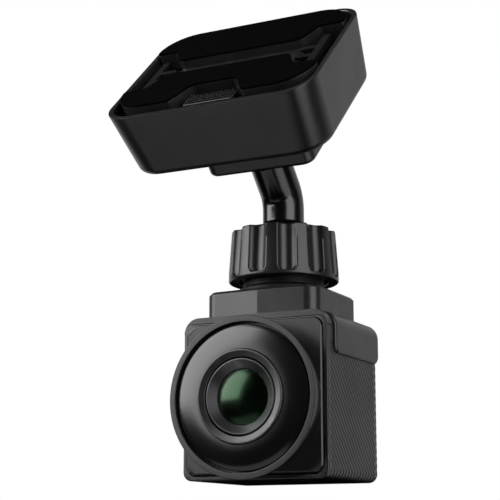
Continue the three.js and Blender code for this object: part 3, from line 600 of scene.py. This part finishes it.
def rear_fittings():
    piece("screen_window", slab([rect(SCREEN_W, SCREEN_H, 1, 0, SCREEN_Z)],
                                edge(-BODY_D + 0.12, -BODY_D + 1.0, 0.1, 0.1, 2)), UPRIGHT)
    for i, x in enumerate(BUTTON_XS):
        key = slab([rect(5.6, 3.2, 1.45, x, BUTTON_Z, 8)], edge(-BODY_D - 0.6, -BODY_D + 1.9, 0.45, 0.1, 4))
        slab([rect(7.2, 4.8, 1.6, x, BUTTON_Z, 4)], edge(-BODY_D + 1.9, -BODY_D + 2.9, 0.1, 0.1, 1), key)
        piece(f"rear_button_{i + 1}", key, UPRIGHT)
    for i, (x, z) in enumerate(SCREW_SPOTS):
        profile = [(0, 3.6, 0), (0.7, 3.1, 0), (0.7, 0, 0), (1.3, 0, 0.1), (1.3, -0.7, 0.35), (0, -0.75, 0)]
        head = turned(rounded(profile, 3), 32)
        t, r = 0.17, 0.75            # half the width and half the length of the cross in its head
        corners = [(t, -r), (t, -t), (r, -t), (r, t), (t, t), (t, r),
                   (-t, r), (-t, t), (-r, t), (-r, -t), (-t, -t), (-t, -r)]
        cross = slab([[Vector(corner) for corner in corners]], [(0, -1.2), (0, -0.35)])
        place = BODY @ Matrix.Translation((x, BODY_D - 0.95, z)) @ Matrix.Rotation(math.pi / 2, 4, "X")
        piece(f"cover_screw_{i + 1}", head, place, cross)


# ---------------------------------------------------------------- top cap
def ear(side, into):
    """One side of the cap: a raised flap that wraps over the shoulder. It is made flat and then bent."""
    straight = CAP_TOP - CAP_CORNER - EAR_BOTTOM
    bend = CAP_CORNER * math.pi / 2
    reach = straight + bend + 2.2
    outline = rounded([(EAR_FRONT, 0, 2.0), (BODY_D, 0, 2.4), (BODY_D, reach, 0), (EAR_FRONT, reach, 0)], 8)
    flat = slab([outline], edge(-EAR_T - 0.35, 0, 0, 0.75, 5))
    for k in range(13):
        geom = flat.verts[:] + flat.edges[:] + flat.faces[:]
        cut_at = (0, straight + bend * k / 12, 0)
        bmesh.ops.bisect_plane(flat, geom=geom, plane_co=cut_at, plane_no=(0, 1, 0))
    for vert in flat.verts:
        y, along, height = vert.co
        turn = min(max((along - straight) / CAP_CORNER, 0), math.pi / 2)
        x = BODY_W / 2 + EAR_T - CAP_CORNER + (CAP_CORNER + height) * math.cos(turn)
        z = CAP_TOP - CAP_CORNER + (CAP_CORNER + height) * math.sin(turn)
        z += min(0, along - straight)
        x -= max(0, along - straight - bend)
        vert.co = (side * x, y, z)
    merge(into, flat)


def top_cap():
    cap = bmesh.new()
    half, thin, arch_foot = BODY_W / 2, 0.02, 39.3
    arch = rounded([(half, arch_foot, 0), (half, CAP_TOP, CAP_CORNER), (-half, CAP_TOP, CAP_CORNER),
                    (-half, arch_foot, 0), (-half + thin, arch_foot, 0), (-half + thin, BODY_H, 2.5),
                    (half - thin, BODY_H, 2.5), (half - thin, arch_foot, 0)], 8)
    slab([arch], edge(-BODY_D, -0.2, 0.01, 0.012, 1), cap)
    cap.transform(STANDING)
    for side in (-1, 1):
        ear(side, cap)
    px, ridge = PLATFORM_W / 2, 1.05
    outline = rounded([(0, PLATFORM_FRONT, 0), (px, PLATFORM_FRONT + ridge, 3.8), (px, PLATFORM_BACK, 1.4),
                       (-px, PLATFORM_BACK, 1.4), (-px, PLATFORM_FRONT + ridge, 3.8)], 10)
    chamfer, ease = 0.85, 0.12
    profile = [(0, CAP_TOP - 1.0), (0, PLATFORM_TOP - chamfer - ease),
               (ease * 0.4, PLATFORM_TOP - chamfer + ease * 0.4),
               (chamfer - ease * 0.4, PLATFORM_TOP - ease * 0.4), (chamfer + ease, PLATFORM_TOP)]
    slab([outline], profile, cap)
    bmesh.ops.recalc_face_normals(cap, faces=cap.faces)
    piece("top_cap", cap, BODY, sharp=28, crease=lambda spot: abs(spot.x) < 1e-6)


# ---------------------------------------------------------------- lens unit
def lens_unit():
    bezel = [(13, 0.15, 0), (19.2, 0.15, 0.2), (20.95, 6.3, 0.3), (21.05, BEZEL_OUT, 0.22),
             (19.38, BEZEL_OUT, 0.15), (19.3, 5.1, 0), (13, 5.1, 0)]
    piece("bezel_ring", turned(rounded(bezel, 4), 160), LENS)
    dish_inner, dish_outer, crown = 12.35, 18.8, 1.1
    cone = [(dish_outer - (dish_outer - dish_inner) * k / 8,
             BEZEL_OUT - 0.5 + crown * math.sin(k / 8 * math.pi / 2)) for k in range(9)]
    dish = [(dish_inner, 5.3), (dish_outer, 5.3), (dish_outer + 0.04, BEZEL_OUT - 0.75)] + cone[1:]
    piece("lens_dish", turned(dish, 160), LENS)
    trim = [(10.15, 2, 0), (12.2, 2, 0), (12.2, TRIM_OUT, 0.3), (11.7, TRIM_OUT - 0.02, 0.15),
            (10.2, TRIM_OUT - 0.42, 0.15)]
    piece("trim_ring", turned(rounded(trim, 4), 128), LENS)
    retainer = [(7.2, 3, 0), (9.85, 3, 0), (9.85, TRIM_OUT - 0.55, 0.25), (9.4, TRIM_OUT - 0.55, 0.2),
                (7.35, TRIM_OUT - 2.05, 0.12), (7.2, TRIM_OUT - 2.3, 0)]
    piece("lens_retainer", turned(rounded(retainer, 4), 128), LENS)
    dome_r, edge_out = 15.2, TRIM_OUT - 2.15
    rise = math.asin(GLASS_R / dome_r)
    centre = edge_out - dome_r * math.cos(rise)
    dome = [(dome_r * math.sin(rise * k / 20), centre + dome_r * math.cos(rise * k / 20))
            for k in range(20, -1, -1)]
    inner_r, inner_middle, half_angle = 9.5, 4.7, 0.62
    inside = [(inner_r * math.sin(half_angle * k / 12),
               inner_middle - inner_r * (1 - math.cos(half_angle * k / 12))) for k in range(13)]
    piece("front_lens", turned(inside + [(GLASS_R, 3.0)] + dome, 96), LENS)
    barrel = [(5.6, -17, 0), (9.2, -17, 0.2), (9.2, 2.6, 0.1), (6.7, 2.6, 0.1), (6.5, 1.2, 0),
              (5.2, 0.6, 0.05), (5.0, 0.1, 0), (3.5, -0.3, 0.05), (3.4, -1.0, 0.04), (5.6, -1.2, 0)]
    piece("lens_barrel", turned(rounded(barrel, 3), 96), LENS)
    for name, front, back in (("inner_lens_1", -1.6, -3.4), ("inner_lens_2", -6.4, -8.8)):
        curve = [(INNER_GLASS_R * k / 12, front + 0.9 * (1 - (k / 12) ** 2)) for k in range(12, -1, -1)]
        rear = [(INNER_GLASS_R * k / 12, back + 0.4 * (k / 12) ** 2) for k in range(13)]
        piece(name, turned(rear + curve, 64), LENS)


# ---------------------------------------------------------------- ball joint
def flute(radius, height, angle):
    """The nut's wall, hollowed by upright flutes with round-cornered lower ends and soft edges."""
    solid_r = 13.2
    if radius < solid_r:
        return radius
    flute_r, centre, phase, soften = 3.0, radius + 1.35, 0.15, 0.28
    step = 2 * math.pi / NUT_FLUTES
    away = (angle / step - phase + 0.5) % 1.0 - 0.5
    sideways = abs(centre * math.sin(away * step))
    floor = centre * math.cos(away * step)
    if sideways < flute_r:
        floor -= math.sqrt(flute_r ** 2 - sideways ** 2)
    blend = min(1.0, max(0.0, 0.5 + 0.5 * (floor - radius) / soften))
    reach = floor * (1 - blend) + radius * blend - soften * blend * (1 - blend)
    lip, corner_r, end_slope, half_width = 0.9, 1.2, 0.45, 2.6
    below = NUT_BOTTOM + lip + corner_r - height
    if below > 0:
        margin = corner_r - math.hypot(max(0.0, sideways - half_width + corner_r), below)
        reach = radius + (reach - radius) * min(1.0, max(0.0, margin / end_slope))
    return reach


def clamp_nut():
    wall_steps = 72
    low_round, high_round, straight_part = 0.45, 0.5, 0.15
    low_edge = [(NUT_BOTTOM_R - low_round * (1 - math.sin(a)), NUT_BOTTOM + low_round * (1 - math.cos(a)))
                for a in (math.pi / 8 * k for k in range(5))]
    rise = NUT_TOP - high_round - NUT_BOTTOM - low_round
    wall = []
    for k in range(1, wall_steps + 1):
        f = k / wall_steps
        taper = max(0.0, f - straight_part) / (1 - straight_part)
        wall.append((NUT_BOTTOM_R + (NUT_TOP_R - NUT_BOTTOM_R) * taper, NUT_BOTTOM + low_round + rise * f))
    high_edge = [(NUT_TOP_R - high_round * (1 - math.cos(a)), NUT_TOP - high_round * (1 - math.sin(a)))
                 for a in (math.pi / 8 * k for k in range(1, 5))]
    profile = [(12.3, NUT_BOTTOM + 0.2), (12.5, NUT_BOTTOM)] + low_edge + wall + high_edge
    profile += [(12.6, NUT_TOP), (10.9, NUT_TOP), (10.5, NUT_TOP - 0.12), (10.4, NUT_TOP - 0.5),
                (10.5, BALL_Z + 5.4), (12.3, BALL_Z + 2.4)]
    piece("clamp_nut", turned(profile, NUT_FLUTES * 34, flute), JOINT, sharp=50)


def ball_socket():
    cavity_r, base = 9.9, PLATFORM_TOP + 0.1
    cavity = [(cavity_r * math.cos(a), BALL_Z + cavity_r * math.sin(a))
              for a in (math.radians(30 - 10 * k) for k in range(13))]
    cavity[-1] = (0, BALL_Z - cavity_r)
    outside = [(0, base, 0), (12.8, base, 0.2), (12.8, base + 1.2, 0.3), (11.2, base + 1.9, 0.3),
               (11.2, 54.9, 0.1), (11.8, 55.5, 0.1), (11.8, 63, 0), (10.1, 66.5, 0)]
    outside = rounded(outside, 3, closed=False)
    slot_w, slot_rise = 1.1, 3.4
    slots = bmesh.new()
    for k in range(3):
        across = bmesh.ops.create_cube(slots, size=1)
        turn = Matrix.Rotation(k * math.pi / 3, 4, "Z")
        place = turn @ Matrix.Translation((0, 0, BALL_Z + slot_rise)) @ Matrix.Diagonal((slot_w, 30, 12, 1))
        bmesh.ops.transform(slots, matrix=place, verts=across["verts"])
    piece("ball_socket", turned([(p[0], p[1]) for p in outside] + cavity, 72), JOINT, slots)


def stem():
    down = Vector((0, math.sin(TILT), -math.cos(TILT)))
    rim_middle = Vector((0, BRACKET_Y, BRACKET_Z))
    root = rim_middle + down * (-NECK_BOTTOM - STEM_SOCKET)
    corner = rim_middle + down * ((JOINT_Y - BRACKET_Y) / math.sin(TILT))
    tangent = STEM_BEND_R * math.tan(TILT / 2)
    start = corner - down * tangent
    end = corner - Vector((0, 0, tangent))
    path = [root.lerp(start, k / 6) for k in range(6)]
    path += [start.lerp(corner, k / 16).lerp(corner.lerp(end, k / 16), k / 16) for k in range(17)]
    radii = [STEM_R] * len(path)
    neck_z = BALL_Z + 9.9
    neck = [(STEM_R, neck_z + 0.5, 0), (STEM_R, neck_z - 0.2, 0.5), (NECK_R, neck_z - 2.1, 1),
            (NECK_R, BALL_Z + 7.4, 0)]
    for radius, height in rounded(neck, 4, closed=False):
        path.append(Vector((0, JOINT_Y, height)))
        radii.append(radius)
    for k in range(1, 25):
        angle = math.radians(60 - 149 * k / 24)
        path.append(Vector((0, JOINT_Y, BALL_Z + BALL_R * math.sin(angle))))
        radii.append(BALL_R * math.cos(angle))
    piece("stem", swept(path, radii), BODY, sharp=50)


# ---------------------------------------------------------------- bracket
def case_rings():
    """The bracket's tray as (inset, height) pairs: under its floor, up the outside, down the inside."""
    base_round, rim_round = 2.0, 0.3
    steps = [(base_round * (1 - math.sin(a)), -CASE_DEPTH + base_round * (1 - math.cos(a)))
             for a in (math.pi / 16 * k for k in range(9))]
    wall = CASE_DEPTH - base_round - rim_round
    steps += [(0, -CASE_DEPTH + base_round + wall * k / 4) for k in range(1, 5)]
    steps += [(rim_round * 0.3, -rim_round * 0.3), (rim_round, 0), (CASE_WALL - 0.2, 0), (CASE_WALL, -0.2)]
    steps += [(CASE_WALL, -CASE_DEPTH + CASE_WALL)]
    return steps


def bracket_case():
    rings = []
    for away, height in case_rings():
        shrink = away + CASE_DRAFT * -height / CASE_DEPTH
        outline = rect(CASE_W - 2 * shrink, CASE_L - 2 * shrink, CASE_CORNER - away, 0, CASE_SHIFT, 14)
        rings.append([Vector((p.x, p.y, height)) for p in outline])
    inlet = bmesh.new()
    slab([rect(INLET_L, INLET_H, 1.9, INLET_U, INLET_W, 8)], [(0, -8), (0, 8)], inlet)
    inlet.transform(Matrix.Translation((0, CASE_L / 2 - 2, 0)) @ STANDING)
    piece("bracket_case", lofted(rings), BRACKET, inlet)


def block_corners(side, latch):
    """One block of the plate, which steps back at the channel's ends and for the latch."""
    x, far, soft = PLATE_W / 2, PLATE_L / 2, 2.6
    start, end = NOTCH_U - 1.6, NOTCH_U + 1.6
    corners = [(-x, side * NOTCH_HALF, 0.8), (-end, side * NOTCH_HALF, soft),
               (-start, side * CHANNEL_HALF, soft), (start, side * CHANNEL_HALF, soft),
               (end, side * NOTCH_HALF, soft), (x, side * NOTCH_HALF, 0.8),
               (x, side * far, PLATE_CORNER)]
    if latch:
        inner = far - LATCH_V
        corners += [(LATCH_U + 1.2, side * far, 1.6), (LATCH_U - 3.0, side * inner, 2.6),
                    (-LATCH_U + 3.0, side * inner, 2.6), (-LATCH_U - 1.2, side * far, 1.6)]
    corners += [(-x, side * far, PLATE_CORNER)]
    return rounded(corners if side > 0 else corners[::-1], 8)


def windscreen_plate():
    plate = bmesh.new()
    for side in (1, -1):
        slab([block_corners(side, side < 0)], edge(PLATE_BOTTOM, BLOCK_TOP, 0.2, 0.06, 2), plate)
    block(0, 0, PLATE_BOTTOM, CHANNEL_FLOOR, 36.6, 2 * CHANNEL_HALF + 4, 0.3, 0.1, plate)
    for v in HOOK_SPOTS:
        block(0, v, PLATE_BOTTOM + 0.05, CHANNEL_FLOOR - 0.05, 39.2, HOOK_L, 0.3, 0.1, plate)
    piece("mount_plate", plate, BRACKET)
    foam_edge = edge(BLOCK_TOP + 0.02, PAD_TOP, 0.02, 0.1, 2)
    piece("adhesive_pad_rear", slab([block_corners(1, False)], foam_edge), BRACKET)
    piece("adhesive_pad_front", slab([block_corners(-1, True)], foam_edge), BRACKET)


def deck():
    mesh = slab([rect(CASE_W - 7.4, CASE_L - 7.4, CASE_CORNER - 3.4, 0, CASE_SHIFT, 10)],
                edge(DECK_TOP - DECK_T, DECK_TOP, 0.2, 0.2, 2))
    rail_u, rail_top = 24.4, CHANNEL_FLOOR + 1.2
    for side in (-1, 1):
        block(side * rail_u, -1.1, DECK_TOP - 0.4, rail_top, 2.2, 19, 0.5, 0.25, mesh)
        for v in HOOK_SPOTS:
            block(side * (rail_u - 3), v, rail_top - 0.9, rail_top - 0.05, 5.4, HOOK_L, 0.5, 0.2, mesh)
    piece("bracket_deck", mesh, BRACKET)


def latch():
    front, back = -PLATE_L / 2 + 0.5, -PLATE_L / 2 + LATCH_V - 3.4
    low, high = DECK_TOP + 0.3, LATCH_TOP
    width, rows, teeth, row_pitch, tooth_pitch = 14.6, 4, 13, 1.15, 1.02
    mesh = slab([rect(width, back - front, 0.8, 0, (front + back) / 2, 4)], edge(low, high, 0.1, 0.3, 3))
    block(0, back + 2.1, low, low + 1.0, 7, 5.4, 0.6, 0.15, mesh)
    for row in range(rows):
        for tooth in range(teeth):
            lean = 0.35 if (row + tooth) % 2 else -0.35
            u, v = (tooth - teeth // 2) * tooth_pitch, front + 0.75 + row_pitch * row + lean * 0.3
            merge(mesh, block(u, v, high - 0.05, high + 0.42, 0.8, 0.5, 0.22, 0.18))
    piece("release_latch", mesh, BRACKET)
    spring = bmesh.new()
    block(0, front - 0.75, low + 0.35, low + 1.45, 9, 0.25, 0.1, 0.05, spring)
    for side in (-1, 1):
        block(side * 4.3, front - 0.5, low + 0.35, low + 1.45, 0.4, 0.5, 0.1, 0.05, spring)
    piece("latch_spring", spring, BRACKET)


def neck_block():
    outline = rect(NECK_W, NECK_L, 3.4, 0, 0, 10)
    bore = hole(circle(STEM_R + 0.12, 0, 0, 48))
    piece("neck_block", slab([outline, bore], edge(NECK_BOTTOM, -CASE_DEPTH - 0.06, 1.3, 0.25, 5)), BRACKET)


def inlet():
    v = CASE_L / 2 + CASE_SHIFT - 1.3
    place = BRACKET @ Matrix.Translation((INLET_U, v, INLET_W)) @ STANDING
    piece("inlet_collar", slab([rect(8.4, 4.0, 1.6, 0, 0, 8), hole(rect(6.6, 2.6, 0.9, 0, 0, 6))],
                               edge(-1.6, 1.2, 0.2, 0.2, 3)), place)
    socket = slab([rect(7.6, 3.4, 1.1, 0, 0, 6), hole(rect(6.8, 2.6, 0.8, 0, 0, 6))],
                  edge(1.6, 7.6, 0.1, 0.1, 1))
    block(0, 0, 3.0, 7.5, 4.6, 0.6, 0.1, 0.05, socket)
    piece("power_socket", socket, place)


body_shell()
front_panel()
rear_cover()
rear_fittings()
top_cap()
lens_unit()
clamp_nut()
ball_socket()
stem()
bracket_case()
windscreen_plate()
deck()
latch()
neck_block()
inlet()


# ---------------------------------------------------------------- stage, light and camera
def direction(azimuth, elevation):
    """A unit vector; azimuth 0 is in front of the lens and 90 is to the right of it."""
    a, e = math.radians(azimuth), math.radians(elevation)
    return Vector((math.sin(a) * math.cos(e), -math.cos(a) * math.cos(e), math.sin(e)))


LIGHT_DISTANCE = 0.75
MIDDLE = (CAD_BOX[0] + CAD_BOX[1]) / 2


def soft_light(name, azimuth, elevation, width, height, radiance):
    """A softbox aimed at the object; width and height are the angles that it fills, in degrees."""
    data = bpy.data.lights.new(name, "AREA")
    data.shape = "RECTANGLE"
    data.size = 2 * LIGHT_DISTANCE * math.tan(math.radians(width / 2))
    data.size_y = 2 * LIGHT_DISTANCE * math.tan(math.radians(height / 2))
    data.energy = radiance * math.pi * data.size * data.size_y
    lamp = bpy.data.objects.new(name, data)
    towards = direction(azimuth, elevation)
    lamp.location = MIDDLE + towards * LIGHT_DISTANCE
    lamp.rotation_euler = towards.to_track_quat("Z", "Y").to_euler()
    lamp.visible_camera = False
    scene.collection.objects.link(lamp)


def stage():
    floor_drop, floor_size = 0.16, 3.0
    floor_mesh = bmesh.new()
    slab([rect(floor_size, floor_size, 0.3, 0, 0, 8)], [(0, -0.01), (0, 0)], floor_mesh)
    floor = mesh_object("floor", floor_mesh, Matrix.Translation((0, 0, CAD_BOX[0].z - floor_drop)))
    made, tree, shader = material("pale_floor")
    tree.links.new(mixed(tree, noise(tree, 6), (0.10, 0.10, 0.10), (0.12, 0.12, 0.12)),
                   shader.inputs["Base Color"])
    shader.inputs["Roughness"].default_value = 0.8
    shader.inputs["Emission Color"].default_value = (1, 1, 1, 1)
    shader.inputs["Emission Strength"].default_value = 0.78
    floor.data.materials.append(made)
    floor.visible_glossy = False
    floor.visible_diffuse = False
    world = bpy.data.worlds.new("studio")
    world.use_nodes = True
    world.node_tree.nodes["Background"].inputs["Color"].default_value = (1, 1, 1, 1)
    world.cycles_visibility.glossy = False
    world.cycles_visibility.diffuse = False
    world.cycles_visibility.transmission = False
    scene.world = world


def studio():
    soft_light("key", -51, 24, 50, 50, 4.9)
    soft_light("right_strip", 67, 8, 44, 70, 3.0)
    soft_light("right_low", 88, -38, 30, 35, 1.6)
    soft_light("left_rim", -127, 0, 30, 60, 0.8)
    soft_light("back_right", 158, 2, 50, 64, 0.5)
    soft_light("back_left", -160, 14, 40, 28, 0.35)
    soft_light("low_fill", -25, -58, 60, 50, 0.6)
    sun = bpy.data.lights.new("overhead", "SUN")
    sun.energy = 0.15
    sun.angle = math.radians(50)
    overhead = bpy.data.objects.new("overhead", sun)
    overhead.location = (0, 0, 1)
    scene.collection.objects.link(overhead)


CAMERA_SPOT = (160.304, -314.769, -15.692)
CAMERA_RISE, CAMERA_TURN = 12.138, 27.148    # degrees
CAMERA_LENS, CAMERA_SENSOR = 97.93, 36.0


def photo_camera():
    """The viewpoint: below and to the right of the lens, looking a little upwards."""
    data = bpy.data.cameras.new("camera")
    data.lens, data.sensor_width = CAMERA_LENS, CAMERA_SENSOR
    data.clip_start, data.clip_end = 0.01, 20
    camera = bpy.data.objects.new("camera", data)
    camera.location = BODY @ Vector(CAMERA_SPOT)
    camera.rotation_euler = (math.radians(90 + CAMERA_RISE), 0, math.radians(CAMERA_TURN))
    scene.collection.objects.link(camera)
    scene.camera = camera


stage()
studio()
photo_camera()
scene.view_settings.view_transform = "Standard"
